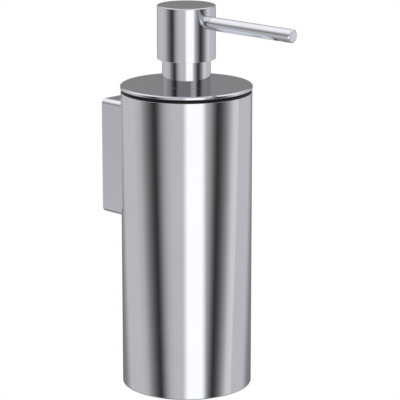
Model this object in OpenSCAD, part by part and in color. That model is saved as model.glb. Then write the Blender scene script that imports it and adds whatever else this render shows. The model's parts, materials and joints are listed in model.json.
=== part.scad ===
// Wall mounted soap dispenser: a chromed tube on a small wall block, with a lift-out
// container, a lid with a press pump, and a thin straight spout.
// +Y points into the wall, +Z up. The origin is on the wall, at the middle of the block.

/* [Body] */
// Outer diameter of the tube
body_d = 60; // [50:1:80]
// Height of the tube
body_h = 138; // [110:1:200]
// Wall of the tube
body_wall = 1.2; // [0.8:0.1:2]
// Rounding of the tube's lower outer edge
body_edge_r = 0.7; // [0.2:0.1:1]
// Thickness of the disc that closes the tube
base_t = 2; // [1:0.5:4]

/* [Bracket] */
// Width of the block along the wall
block_w = 28; // [24:1:36]
// Height of the block
block_h = 54; // [48:1:70]
// Rounding of the block's long edges
block_edge_r = 2.4; // [1:0.1:4]
// Shortest distance from the wall to the tube
block_l = 11.7; // [9:0.1:25]
// Distance from the lid's top down to the block's top
block_drop = 10.4; // [6:0.1:30]
// Depth of the pocket in the block's back
pocket_depth = 6.2; // [6:0.1:8]
// Wall of the block beside the pocket
block_wall = 2; // [1.5:0.1:3]
// Thickness of the block under the pocket, for the set screw
block_sill = 6; // [5:0.5:8]
// Thickness of the wall plate
plate_t = 5; // [4:0.1:5]
// Clearance round the wall plate
plate_gap = 0.3; // [0.2:0.05:0.5]
// Room that the block needs to drop over the plate
hook_drop = 2; // [1:0.5:3]
// Spacing of the two wall screw holes
wall_hole_spacing = 26; // [20:1:28]
// Diameter of a wall screw hole
wall_hole_d = 4.5; // [4:0.1:5]
// Diameter of a wall screw's countersink
wall_sink_d = 8.4; // [8:0.1:9]
// Diameter of the set screw
set_screw_d = 4; // [3:1:5]
// Depth of the set screw's socket end above the block's underside
set_screw_inset = 0.3; // [0.2:0.1:0.5]
// Spacing of the screws that hold the tube on the block
body_screw_spacing = 30; // [24:1:34]
// Diameter of those screws
body_screw_d = 4; // [3:1:4]
// Diameter of their heads
body_head_d = 7.6; // [7:0.1:8]
// Height of their heads
body_head_h = 2.2; // [2:0.1:2.4]

/* [Container] */
// Gap between the container and the tube, which clears the screw heads
container_gap = 3; // [2.8:0.1:6]
// Wall of the container
container_wall = 1.5; // [1:0.1:2]
// Gap under the container
container_floor_gap = 2.5; // [1:0.5:6]
// Thickness of the flange that rests on the tube
flange_t = 0.8; // [0.6:0.1:1.5]
// Gap between the flange's rim and the tube's outer face
rim_inset = 0.45; // [0.2:0.05:1]
// Height of the shoulder that centres the container in the tube
shoulder_h = 3; // [2:0.5:5]
// Gap between that shoulder and the tube
shoulder_gap = 0.3; // [0.2:0.05:0.5]

/* [Lid] */
// Overhang of the lid beyond the tube
lid_overhang = 0.2; // [0:0.1:1]
// Thickness of the lid
lid_t = 1.5; // [1.2:0.1:4]
// Bevel of the lid's top edge
lid_bevel = 0.45; // [0.2:0.05:0.8]
// Thickness of the black ring under the lid
lid_gasket_t = 0.75; // [0.5:0.05:2]
// Height of the plug under the lid
stopper_h = 8.5; // [7:0.5:14]
// Thickness of the plug's top
stopper_top_t = 2.4; // [2:0.1:4]
// Wall of the plug's skirt
stopper_wall = 4; // [3:0.1:5]
// Gap between the plug and the container
stopper_gap = 0.3; // [0.2:0.05:0.5]
// Thickness of the plug's rubber ring
o_ring_d = 1.8; // [1.4:0.1:2.2]
// Depth of that ring's middle below the plug's top
o_ring_drop = 5.1; // [4:0.1:5.5]
// Running gap between that ring and the container
o_ring_gap = 0.05; // [0.02:0.01:0.1]

/* [Collar] */
// Outer diameter of the collar
collar_d = 22.1; // [20:0.1:30]
// Wall of the collar
collar_wall = 2.05; // [1.5:0.05:2.5]
// Height of the collar's inner shoulder over the lid
collar_shoulder_h = 3; // [2:0.5:4]
// Wall of the threaded spigot through the lid
spigot_wall = 1.4; // [1:0.1:1.6]
// Gap between the spigot and the pump housing
spigot_gap = 0.2; // [0.1:0.05:0.4]
// Length of the spigot under the lid's top
spigot_l = 10.5; // [9:0.5:14]
// Wall of the nut at its flats
nut_wall = 4; // [3:0.5:5]
// Height of the nut
nut_h = 5; // [3:0.5:6]

/* [Pump] */
// Stroke of the pump
stroke = 10; // [6:0.5:12]
// Clearance left at the end of the stroke
stroke_gap = 0.4; // [0.3:0.1:1]
// Outer diameter of the pump housing
housing_d = 12.8; // [12:0.1:15.4]
// Wall of the pump housing
housing_wall = 1.4; // [1:0.1:1.6]
// Length of the pump housing from its flange's top to its floor
housing_l = 39.3; // [39:0.1:50]
// Thickness of the housing's flange
housing_flange_t = 1.5; // [1:0.1:2]
// Thickness of the rubber ring under that flange
housing_gasket_t = 0.8; // [0.5:0.1:1.5]
// Thickness of the housing's floor
housing_floor_t = 2; // [1.5:0.1:3]
// Length of the socket for the suction tube
tube_socket_l = 10; // [6:1:14]
// Depth of the guide bush's top below the collar's top
bush_recess = 4; // [3:0.5:5]
// Outer diameter of the stem
stem_d = 6; // [5:0.1:7.2]
// Bore of the stem
stem_bore_d = 3; // [2:0.1:3]
// Height of the stem's stop ring
stem_stop_h = 2; // [1:0.5:3]
// Running gap round the stem
stem_gap = 0.05; // [0.02:0.01:0.1]
// Length of the stem below the guide bush
stem_tail_l = 11.3; // [10:0.1:14]
// Gap between the piston or the stem's stop ring and the housing
piston_gap = 0.4; // [0.2:0.05:0.6]
// Height of the piston
piston_h = 5; // [4:0.5:7]
// Height of the piston's rubber ring
piston_seal_h = 2; // [1.5:0.1:2.5]
// Depth of the piston's groove
piston_groove = 0.7; // [0.4:0.1:1]
// Running gap between the rubber ring and the housing
piston_seal_gap = 0.05; // [0.02:0.01:0.1]
// Outer diameter of the suction tube
tube_d = 6; // [4:0.5:6]
// Bore of the suction tube
tube_bore_d = 4; // [2:0.5:4]
// Gap between the suction tube and the container's floor
tube_floor_gap = 2; // [1:0.5:10]

/* [Valves and spring] */
// Diameter of the inlet ball
inlet_ball_d = 4.8; // [4:0.1:5]
// Hole under the inlet ball
inlet_hole_d = 3.2; // [2:0.1:3.4]
// Lift of the inlet ball
inlet_lift = 1.2; // [0.6:0.1:2]
// Diameter of the outlet ball
outlet_ball_d = 3.2; // [2.8:0.1:3.4]
// Hole under the outlet ball
outlet_hole_d = 2.2; // [1.6:0.1:2.4]
// Lift of the outlet ball
outlet_lift = 1; // [0.5:0.1:1.5]
// Gap round a ball in its cage
ball_gap = 0.3; // [0.2:0.05:0.5]
// Thickness of the bars that stop a ball
bar_t = 1; // [0.6:0.1:1.5]
// Gap between the return spring and the housing
spring_gap = 1; // [0.4:0.1:1.2]
// Wire of the return spring
spring_wire_d = 0.8; // [0.5:0.1:1]
// Turns of the return spring
spring_turns = 8; // [5:1:9]

/* [Head and spout] */
// Wall of the head round its hollow
head_wall = 1.9; // [1.5:0.1:4]
// Thickness of the head above its hollow
head_roof = 11; // [9:0.1:20]
// Gap that is left under the head at the end of the stroke
head_rest_gap = 2.1; // [0.5:0.1:6]
// Rounding of the head's top edge
head_edge_r = 0.45; // [0.2:0.05:1]
// Length of the collar inside the head at rest
collar_engage = 3; // [2:0.5:6]
// Gap between the head's hollow and the collar
head_gap = 0.35; // [0.25:0.05:0.6]
// Gap between the collar's bore and the boss that takes the stem
boss_gap = 0.6; // [0.4:0.1:2]
// Diameter of the spout
spout_d = 6; // [4:0.5:6]
// Reach of the spout from the middle of the tube
spout_reach = 64.7; // [45:0.1:90]
// Height of the spout's axis over the head's hollow
spout_rise = 4.2; // [3.8:0.1:5]
// Bore of the spout
spout_bore_d = 3; // [2:0.1:3]
// Bevel of the spout's tip
spout_bevel = 0.45; // [0.2:0.05:1]
// Distance from the spout's tip to its outlet
outlet_from_tip = 6; // [4:0.5:10]
// Depth of the spout's seat from the head's axis
spout_root = 4.5; // [4:0.1:6]

/* [Hidden] */
$fn = 96;
eps = 0.01;
// Clearance of pieces that are pressed or screwed together
seat_gap = 0.02;
// Clearance of the body screws in the tube's holes
screw_hole_gap = 0.1;
// Distance from the stem's top to the spout's channel
stem_head_gap = 0.3;
// Wall of the suction tube's socket
tube_socket_wall = 1;
// Sphere that domes a body screw's head, and its hex socket, as shares of the head
head_dome = 1.25;
hex_across = 0.4;
hex_depth = 0.6;
// Facets of the large round faces
fine = 192;

wall_to_axis = body_d / 2 + block_l;
// Heights from here on are measured from the lid's top, which is 0
lid_top_z = block_h / 2 + block_drop;
tube_top = -(lid_t + lid_gasket_t + flange_t);
tube_bottom = tube_top - body_h;
flange_top = tube_top + flange_t;
body_r = body_d / 2;
bore_r = body_r - body_wall;

// Pocket and wall plate, in the block's own heights, whose middle is 0. Their top edges slope
// down towards the wall, so that the block's lip hooks behind the plate
pocket_top = block_h / 2 - block_wall;
pocket_bottom = -block_h / 2 + block_sill;
plate_bottom = pocket_bottom + hook_drop + plate_gap;
function hook_top(depth) = pocket_top - hook_drop * (1 - depth / pocket_depth);
plate_w = block_w - 2 * block_wall - 2 * plate_gap;
body_screw_z = [-body_screw_spacing / 2, body_screw_spacing / 2];
wall_hole_z = [-wall_hole_spacing / 2, wall_hole_spacing / 2];

// Container
container_r = bore_r - container_gap;
mouth_r = container_r - container_wall;
flange_r = body_r - rim_inset;
container_bottom = tube_bottom + base_t + container_floor_gap;

// Lid and the plug under it
lid_r = body_r + lid_overhang;
stopper_r = mouth_r - stopper_gap;
o_ring_r = mouth_r - o_ring_gap - o_ring_d / 2;
stopper_top = -lid_t;
o_ring_z = stopper_top - o_ring_drop;

// Collar, pump and head
collar_r = collar_d / 2;
collar_bore_r = collar_r - collar_wall;
housing_r = housing_d / 2;
housing_bore_r = housing_r - housing_wall;
spigot_r = housing_r + spigot_gap + spigot_wall;
head_bottom = stroke + head_rest_gap;
collar_top = head_bottom + collar_engage;
head_ceiling = collar_top + stroke + stroke_gap;
head_top = head_ceiling + head_roof;
hollow_r = collar_r + head_gap;
head_r = hollow_r + head_wall;
boss_r = collar_bore_r - boss_gap;
bush_top = collar_top - bush_recess;
boss_bottom = bush_top + stroke + stroke_gap;
flange_seat = collar_shoulder_h + housing_gasket_t;
bush_bottom = flange_seat + housing_flange_t;
housing_floor = bush_bottom - housing_l;
tube_socket_bottom = housing_floor - housing_floor_t - tube_socket_l;
spout_z = head_ceiling + spout_rise;
stem_r = stem_d / 2;
stem_bore_r = stem_bore_d / 2;
stem_top = spout_z - stem_bore_r - stem_head_gap;
stem_bottom = bush_bottom - stem_tail_l;
stem_stop_gap = 0.1;
stem_foot_t = 1;
stem_cup_r = outlet_ball_d / 2 + ball_gap;
piston_r = housing_bore_r - piston_gap;
spring_r = housing_bore_r - spring_gap - spring_wire_d / 2;
piston_groove_z = stem_bottom + (piston_h - piston_seal_h) / 2;
spout_r = spout_d / 2;

// A ball rests a hair above the edge of its hole
ball_rest = 0.05;
function ball_height(ball_d, hole_d) = sqrt(pow(ball_d / 2, 2) - pow(hole_d / 2, 2)) + ball_rest;
inlet_ball_z = housing_floor + ball_height(inlet_ball_d, inlet_hole_d);
inlet_stop_z = inlet_ball_z + inlet_ball_d / 2 + inlet_lift + ball_rest;
cage_top = inlet_stop_z + bar_t;
cage_bore_r = inlet_ball_d / 2 + ball_gap;
outlet_ball_z = stem_bottom + stem_foot_t + ball_height(outlet_ball_d, outlet_hole_d);
outlet_stop_z = outlet_ball_z + outlet_ball_d / 2 + outlet_lift + ball_rest;

// Places its children on the tube's axis, with the lid's top at height 0
module on_axis() {
    translate([0, -wall_to_axis, lid_top_z]) children();
}

// A ring between two heights
module ring(outer, inner, low, high) {
    translate([0, 0, low]) difference() {
        cylinder(r = outer, h = high - low);
        translate([0, 0, -1]) cylinder(r = inner, h = high - low + 2);
    }
}

// A solid disc between two heights
module disc(radius, low, high) {
    translate([0, 0, low]) cylinder(r = radius, h = high - low);
}

// A cylinder along Y, from one depth to another
module bar_y(radius, from, to) {
    translate([0, from, 0]) rotate([-90, 0, 0]) cylinder(r = radius, h = to - from);
}

// The profile of a round outer corner at [radius, level], material towards the axis;
// up is 1 for a top corner and -1 for a bottom corner
module corner_off(radius, level, size, up) {
    centre = [radius - size, level - up * size];
    difference() {
        translate([centre[0], min(centre[1], centre[1] + up * (size + 1))]) square([size + 1, size + 1]);
        translate(centre) circle(r = size);
    }
}

// Crossed bars that stop a ball and let the soap pass
module stop_bars(radius, low) {
    intersection() {
        disc(radius, low, low + bar_t);
        for (turn = [0, 90]) {
            rotate([0, 0, turn]) translate([-radius, -bar_t / 2, low]) cube([2 * radius, bar_t, bar_t]);
        }
    }
}

// Outline of the block seen along Y
module block_outline(width, height, radius) {
    x = width / 2 - radius;
    z = height / 2 - radius;
    square([width, 2 * z], center = true);
    square([2 * x, height], center = true);
    for (sx = [-1, 1], sz = [-1, 1]) {
        translate([sx * x, sz * z]) circle(r = radius);
    }
}

// The pocket or the plate: a slab against the wall with the sloped top edge, lowered by gap
module hooked_slab(depth, low, gap, width) {
    translate([-width / 2, 0, 0]) rotate([90, 0, 90]) linear_extrude(width)
        polygon([[0, low], [0, hook_top(0) - gap], [-depth, hook_top(depth) - gap], [-depth, low]]);
}

module wall_plate() {
    color("silver") difference() {
        hooked_slab(plate_t, plate_bottom, plate_gap, plate_w);
        for (z = wall_hole_z) {
            translate([0, 0, z]) {
                bar_y(wall_hole_d / 2, -plate_t - 1, 1);
                translate([0, -plate_t - eps, 0]) rotate([-90, 0, 0])
                    cylinder(r1 = wall_sink_d / 2, r2 = wall_hole_d / 2, h = (wall_sink_d - wall_hole_d) / 2);
            }
        }
    }
}

module bracket_block() {
    color("gainsboro") difference() {
        rotate([90, 0, 0]) linear_extrude(wall_to_axis) block_outline(block_w, block_h, block_edge_r);
        translate([0, -wall_to_axis, -block_h]) cylinder(r = body_r + seat_gap, h = 2 * block_h, $fn = fine);
        hooked_slab(pocket_depth, pocket_bottom, 0, block_w - 2 * block_wall);
        for (z = body_screw_z) {
            translate([0, 0, z]) bar_y(body_screw_d / 2 + seat_gap, -wall_to_axis, -plate_t);
        }
        translate([0, -pocket_depth / 2, -block_h]) cylinder(r = set_screw_d / 2 + seat_gap, h = block_h);
    }
}

module set_screw() {
    low = -block_h / 2 + set_screw_inset;
    socket_r = set_screw_d / 4;
    color("dimgray") translate([0, -pocket_depth / 2, 0]) difference() {
        disc(set_screw_d / 2, low, plate_bottom - seat_gap);
        translate([0, 0, low - 1]) cylinder(r = socket_r, h = set_screw_d / 2 + 1, $fn = 6);
    }
}

module body_screws() {
    // The flat of a head sits on the two places where it meets the tube's round bore
    seat = sqrt(pow(bore_r, 2) - pow(body_head_d / 2, 2)) - seat_gap;
    tip = wall_to_axis - pocket_depth - seat_gap;
    color("silver") for (z = body_screw_z) {
        translate([0, -wall_to_axis, z]) difference() {
            union() {
                bar_y(body_screw_d / 2, seat - eps, tip);
                intersection() {
                    bar_y(body_head_d / 2, seat - body_head_h, seat);
                    translate([0, seat + body_head_d / 2 - body_head_h, 0]) sphere(d = body_head_d * head_dome);
                }
            }
            translate([0, seat - body_head_h - 1, 0]) rotate([-90, 0, 0])
                cylinder(d = body_head_d * hex_across, h = body_head_h * hex_depth + 1, $fn = 6);
        }
    }
}

module body_sleeve() {
    color("gainsboro") difference() {
        on_axis() rotate_extrude($fn = fine) difference() {
            translate([bore_r, tube_bottom]) square([body_wall, body_h]);
            corner_off(body_r, tube_bottom, body_edge_r, -1);
        }
        for (z = body_screw_z) {
            translate([0, -wall_to_axis, z]) bar_y(body_screw_d / 2 + screw_hole_gap, 0, body_r + 1);
        }
    }
}

module base_disc() {
    color("gainsboro") on_axis() disc(bore_r - seat_gap, tube_bottom, tube_bottom + base_t);
}

module container() {
    color("black") on_axis() difference() {
        union() {
            disc(container_r, container_bottom, flange_top);
            disc(bore_r - shoulder_gap, tube_top - shoulder_h, tube_top + eps);
            disc(flange_r, tube_top, flange_top);
        }
        disc(mouth_r, container_bottom + container_wall, flange_top + 1);
    }
}

module lid_disc() {
    color("gainsboro") on_axis() rotate_extrude($fn = fine)
        polygon([
            [spigot_r + seat_gap, -lid_t],
            [lid_r - lid_bevel / 3, -lid_t],
            [lid_r, -lid_t + lid_bevel / 3],
            [lid_r, -lid_bevel],
            [lid_r - lid_bevel, 0],
            [spigot_r + seat_gap, 0]
        ]);
}

module lid_gasket() {
    color("black") on_axis() ring(flange_r - 0.1, stopper_r + seat_gap, flange_top, -lid_t);
}

module lid_stopper() {
    skirt_bottom = stopper_top - stopper_h;
    groove_r = o_ring_r - o_ring_d / 2 - seat_gap;
    color("whitesmoke") on_axis() difference() {
        ring(stopper_r, spigot_r + seat_gap, skirt_bottom, stopper_top);
        disc(stopper_r - stopper_wall, skirt_bottom - 1, stopper_top - stopper_top_t);
        ring(stopper_r + 1, groove_r, o_ring_z - o_ring_d / 2 - seat_gap, o_ring_z + o_ring_d / 2 + seat_gap);
    }
}

module stopper_o_ring() {
    color("black") on_axis() translate([0, 0, o_ring_z]) rotate_extrude()
        translate([o_ring_r, 0]) circle(d = o_ring_d);
}

module collar() {
    color("gainsboro") on_axis() difference() {
        union() {
            disc(collar_r, 0, collar_top);
            disc(spigot_r, -spigot_l, eps);
        }
        disc(collar_bore_r, collar_shoulder_h, collar_top + 1);
        disc(housing_r + spigot_gap, -spigot_l - 1, collar_shoulder_h + 1);
    }
}

module collar_nut() {
    top = stopper_top - stopper_top_t;
    color("silver") on_axis() difference() {
        translate([0, 0, top - nut_h])
            cylinder(r = (spigot_r + nut_wall) * 2 / sqrt(3), h = nut_h, $fn = 6);
        disc(spigot_r + seat_gap, top - nut_h - 1, top + 1);
    }
}

module housing_gasket() {
    color("black") on_axis() ring(collar_bore_r - seat_gap, housing_r + seat_gap, collar_shoulder_h, flange_seat);
}

module pump_housing() {
    socket_r = tube_d / 2 + seat_gap;
    floor_bottom = housing_floor - housing_floor_t;
    color("whitesmoke") on_axis() difference() {
        union() {
            disc(collar_bore_r - seat_gap, flange_seat, bush_bottom);
            disc(housing_r, floor_bottom, flange_seat + eps);
            disc(socket_r + tube_socket_wall, tube_socket_bottom, floor_bottom + eps);
        }
        disc(housing_bore_r, housing_floor, bush_bottom + 1);
        disc(inlet_hole_d / 2, floor_bottom - 1, housing_floor + 1);
        disc(socket_r, tube_socket_bottom - 1, floor_bottom);
    }
}

module guide_bush() {
    color("black") on_axis() ring(collar_bore_r - seat_gap, stem_r + stem_gap, bush_bottom, bush_top);
}

module valve_cage() {
    color("white") on_axis() {
        ring(housing_bore_r - seat_gap, cage_bore_r, housing_floor, cage_top);
        stop_bars(cage_bore_r + eps, inlet_stop_z);
    }
}

module inlet_ball() {
    color("silver") on_axis() translate([0, 0, inlet_ball_z]) sphere(d = inlet_ball_d);
}

module dip_tube() {
    low = container_bottom + container_wall + tube_floor_gap;
    color("white") on_axis() difference() {
        ring(tube_d / 2, tube_bore_d / 2, low, housing_floor - housing_floor_t - seat_gap);
        // The lower end is cut on a slope so that it can't close on the floor
        translate([0, 0, low]) rotate([0, 45, 0]) translate([0, -tube_d, -tube_d]) cube([tube_d, 2 * tube_d, tube_d]);
    }
}

module return_spring() {
    low = cage_top + spring_wire_d / 2 + seat_gap;
    high = stem_bottom - spring_wire_d / 2 - seat_gap;
    per_turn = 16;
    sides = 6;
    steps = spring_turns * per_turn;
    // The first and last turns lie flat, and the turns between them climb
    function climb(s) = max(0, min(1, (s - per_turn) / (steps - 2 * per_turn)));
    function middle(s) = low + spring_wire_d * 0.5 * min(1, s / per_turn)
        + spring_wire_d * 0.5 * max(0, (s - steps + per_turn) / per_turn)
        + (high - low - spring_wire_d) * climb(s);
    points = [
        for (s = [0:steps], k = [0:sides - 1])
            let (turn = 360 * s / per_turn, side = 360 * k / sides)
            let (reach = spring_r + spring_wire_d / 2 * cos(side))
            [reach * cos(turn), reach * sin(turn), middle(s) + spring_wire_d / 2 * sin(side)]
    ];
    last = steps * sides;
    faces = concat(
        [[for (k = [0:sides - 1]) k]],
        [for (s = [0:steps - 1], k = [0:sides - 1])
            let (a = s * sides + k, b = s * sides + (k + 1) % sides)
            [a, a + sides, b + sides, b]],
        [[for (k = [sides - 1:-1:0]) last + k]]
    );
    color("silver") on_axis() polyhedron(points, faces);
}

module stem() {
    stop_top = bush_bottom - stem_stop_gap;
    color("white") on_axis() {
        difference() {
            union() {
                disc(stem_r, stem_bottom, stem_top);
                disc(piston_r, stop_top - stem_stop_h, stop_top);
            }
            disc(stem_bore_r, outlet_stop_z, stem_top + 1);
            disc(stem_cup_r, stem_bottom + stem_foot_t, outlet_stop_z + bar_t);
            disc(outlet_hole_d / 2, stem_bottom - 1, stem_bottom + stem_foot_t + eps);
        }
        stop_bars(stem_cup_r + eps, outlet_stop_z);
    }
}

module piston() {
    color("white") on_axis() difference() {
        ring(piston_r, stem_r + seat_gap, stem_bottom, stem_bottom + piston_h);
        ring(piston_r + 1, piston_r - piston_groove, piston_groove_z, piston_groove_z + piston_seal_h);
    }
}

module piston_seal() {
    color("black") on_axis() ring(housing_bore_r - piston_seal_gap, piston_r - piston_groove + seat_gap,
        piston_groove_z + seat_gap, piston_groove_z + piston_seal_h - seat_gap);
}

module outlet_ball() {
    color("silver") on_axis() translate([0, 0, outlet_ball_z]) sphere(d = outlet_ball_d);
}

module pump_head() {
    color("gainsboro") on_axis() difference() {
        rotate_extrude($fn = fine) difference() {
            translate([0, head_bottom]) square([head_r, head_top - head_bottom]);
            corner_off(head_r, head_top, head_edge_r, 1);
        }
        difference() {
            disc(hollow_r, head_bottom - 1, head_ceiling);
            disc(boss_r, boss_bottom, head_ceiling + 1);
        }
        disc(stem_r + stem_gap, boss_bottom - 1, stem_top + stem_gap);
        disc(stem_bore_r, stem_top, spout_z);
        translate([0, 0, spout_z]) {
            sphere(r = spout_bore_d / 2);
            bar_y(spout_bore_d / 2, -spout_root - eps, 0);
            bar_y(spout_r + seat_gap, -head_r - 1, -spout_root);
        }
    }
}

module spout() {
    tip = -spout_reach;
    outlet_y = tip + outlet_from_tip;
    color("gainsboro") on_axis() translate([0, 0, spout_z]) difference() {
        rotate([-90, 0, 0]) rotate_extrude()
            polygon([
                [0, tip],
                [spout_r - spout_bevel, tip],
                [spout_r, tip + spout_bevel],
                [spout_r, -spout_root],
                [0, -spout_root]
            ]);
        bar_y(spout_bore_d / 2, outlet_y - spout_bore_d / 2, 0);
        translate([0, outlet_y, -spout_d]) cylinder(d = spout_bore_d, h = spout_d);
    }
}

wall_plate();
bracket_block();
set_screw();
body_screws();
body_sleeve();
base_disc();
container();
lid_disc();
lid_gasket();
lid_stopper();
stopper_o_ring();
collar();
collar_nut();
housing_gasket();
pump_housing();
guide_bush();
valve_cage();
inlet_ball();
dip_tube();
return_spring();
stem();
piston();
piston_seal();
outlet_ball();
pump_head();
spout();
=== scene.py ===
"""A wall mounted soap dispenser in polished chrome, in a plain light studio."""

import json
import math

import bmesh
import bpy
from mathutils import Matrix, Vector


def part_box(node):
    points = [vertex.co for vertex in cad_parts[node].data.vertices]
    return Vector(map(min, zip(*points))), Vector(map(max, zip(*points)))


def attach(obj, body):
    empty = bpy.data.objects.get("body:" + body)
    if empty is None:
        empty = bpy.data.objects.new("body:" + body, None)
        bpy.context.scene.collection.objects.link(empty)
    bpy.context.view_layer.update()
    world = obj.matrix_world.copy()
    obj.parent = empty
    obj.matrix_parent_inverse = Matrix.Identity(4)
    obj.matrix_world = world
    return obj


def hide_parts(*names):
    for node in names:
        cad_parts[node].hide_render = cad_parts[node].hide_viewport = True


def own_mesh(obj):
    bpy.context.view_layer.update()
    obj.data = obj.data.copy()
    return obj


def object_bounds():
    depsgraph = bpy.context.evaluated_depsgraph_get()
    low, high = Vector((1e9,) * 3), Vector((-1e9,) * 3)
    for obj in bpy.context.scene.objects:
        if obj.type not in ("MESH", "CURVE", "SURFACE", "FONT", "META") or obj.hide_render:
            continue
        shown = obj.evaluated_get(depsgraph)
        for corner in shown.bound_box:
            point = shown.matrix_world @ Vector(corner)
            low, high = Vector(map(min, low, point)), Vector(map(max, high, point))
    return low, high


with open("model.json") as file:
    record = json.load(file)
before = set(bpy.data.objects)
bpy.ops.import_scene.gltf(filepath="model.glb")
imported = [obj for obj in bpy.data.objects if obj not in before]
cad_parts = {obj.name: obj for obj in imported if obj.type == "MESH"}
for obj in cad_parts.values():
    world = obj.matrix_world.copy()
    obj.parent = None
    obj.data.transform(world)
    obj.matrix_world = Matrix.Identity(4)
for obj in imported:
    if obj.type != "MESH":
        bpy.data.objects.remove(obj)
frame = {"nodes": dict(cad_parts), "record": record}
cad_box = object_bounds()

MM = 0.001
TAU = 2 * math.pi
SMOOTH_BELOW = math.radians(32)

# Where the camera stands, seen from the middle of the object: turned from the wall's normal
# towards the left, and raised
CAMERA_AZIMUTH = 45.65
CAMERA_ELEVATION = 14.0
CAMERA_DISTANCE = 0.976
CAMERA_LENS = 191.9
SENSOR = 36.0
AIM_SHIFT = Vector((0, 0.0029, -0.0004))

# Dispensers hang about this high over the floor
FLOOR_DROP = 1.2
FLOOR_RADIUS = 3.0
TENT_RADIUS = 8.0


# ---------------------------------------------------------------- sizes from the frame

def centre_of(corners):
    """The middle of a box."""
    low, high = (Vector(c) for c in corners)
    return (low + high) / 2


AXIS = centre_of(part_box("body_sleeve")).xy
OBJECT_MIDDLE = centre_of(cad_box)
AIM = OBJECT_MIDDLE + AIM_SHIFT


def cad_points(node):
    """The corners of a CAD node's mesh."""
    return [v.co for v in frame["nodes"][node].data.vertices]


def heights(node):
    """The levels of a turned CAD node, from the lowest up."""
    return sorted({round(p.z, 5) for p in cad_points(node)})


def radii(node, level):
    """The radii that a turned CAD node has at one level, from the smallest up."""
    found = {round((p.xy - AXIS).length, 5) for p in cad_points(node) if abs(p.z - level) < 2e-5}
    return sorted(found)


def widest(node):
    """The outer radius of a turned CAD node."""
    low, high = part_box(node)
    return (high.x - low.x) / 2


# ---------------------------------------------------------------- camera and studio

def direction(azimuth, elevation):
    """Unit vector from the object towards a viewer at these angles."""
    a, e = math.radians(azimuth), math.radians(elevation)
    return Vector((-math.sin(a) * math.cos(e), -math.cos(a) * math.cos(e), math.sin(e)))


def make_camera():
    data = bpy.data.cameras.new("camera")
    data.sensor_width = SENSOR
    data.lens = CAMERA_LENS
    data.clip_start = 0.05
    data.clip_end = 60
    camera = bpy.data.objects.new("camera", data)
    bpy.context.scene.collection.objects.link(camera)
    eye = AIM + direction(CAMERA_AZIMUTH, CAMERA_ELEVATION) * CAMERA_DISTANCE
    camera.location = eye
    camera.rotation_euler = (AIM - eye).to_track_quat("-Z", "Y").to_euler()
    bpy.context.scene.camera = camera


class Nodes:
    """Short calls for building a node tree."""

    def __init__(self, tree):
        self.tree = tree
        tree.nodes.clear()

    def add(self, kind, **settings):
        node = self.tree.nodes.new(kind)
        for name, value in settings.items():
            setattr(node, name, value)
        return node

    def link(self, source, target):
        self.tree.links.new(source, target)

    def put(self, value, socket):
        """Sets a socket to a number, or links it."""
        if isinstance(value, bpy.types.NodeSocket):
            self.link(value, socket)
        else:
            socket.default_value = value

    def math(self, operation, *values, clamp=False):
        node = self.add("ShaderNodeMath", operation=operation, use_clamp=clamp)
        for socket, value in zip(node.inputs, values):
            self.put(value, socket)
        return node.outputs[0]

    def step(self, value, start, end, low=0.0, high=1.0):
        """A smooth step from low to high as value goes from start to end."""
        node = self.add("ShaderNodeMapRange", interpolation_type="SMOOTHSTEP")
        for socket, item in zip(node.inputs, (value, start, end, low, high)):
            self.put(item, socket)
        return node.outputs[0]

    def blend(self, factor, low, high):
        """low + factor * (high - low)."""
        return self.math("ADD", low, self.math("MULTIPLY", factor, self.math("SUBTRACT", high, low)))

    def ramp(self, value, stops, interpolation="LINEAR"):
        """A colour ramp through (place, grey or colour) stops."""
        node = self.add("ShaderNodeValToRGB")
        ramp = node.color_ramp
        ramp.interpolation = interpolation
        while len(ramp.elements) < len(stops):
            ramp.elements.new(1.0)
        for element, (place, tone) in zip(ramp.elements, stops):
            element.position = place
            tone = (tone,) * 3 if isinstance(tone, (int, float)) else tone
            element.color = (*tone, 1)
        self.link(value, node.inputs[0])
        return node.outputs[0]


# The studio's wall as metal mirrors it: (degrees, brightness) from straight behind the camera
# (0) round to behind the object (180). A black flag stands on each side, at FLAG_PLACE, with a
# hard inner edge and a soft outer one
FLAG_PLACE = 55
INNER = [(0, 0.61), (22, 0.60), (29, 0.56), (35, 0.48), (41, 0.34), (47, 0.16), (52, 0.055), (56, 0.042)]
REAR = [(136, 0.60), (146, 0.45), (158, 0.27), (180, 0.20)]
LEFT = INNER + [(62, 0.09), (70, 0.20), (79, 0.37), (84, 0.49), (88, 0.53), (100, 0.61)] + REAR
RIGHT = INNER + [(62, 0.09), (69, 0.20), (77, 0.39), (84, 0.62), (88, 0.72), (97, 0.77), (101, 0.61)] + REAR
# The same above the horizon, from behind the object round by the left (-180) to the right (180)
UPPER = [
    (-180, 0.25), (-150, 0.28), (-140, 0.40), (-112, 0.42), (-100, 0.32), (-84, 0.26),
    (-70, 0.09), (-60, 0.02),
    (-50, 0.02), (-42, 0.19), (-34, 0.23), (19, 0.23), (24, 0.45), (41, 0.45), (52, 0.06), (58, 0.02),
    (68, 0.03), (80, 0.22), (95, 0.27), (150, 0.24), (180, 0.25),
]
WALL_OVERHEAD = 1.1
TENT_TOP = 0.55
# The ground is the wall below the horizon: its share of the wall, what is added, and the whole's level
GROUND_WALL = 0.9
GROUND_ADDED = 0.18
GROUND = 0.66
SOFTBOX = 1.26


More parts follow.
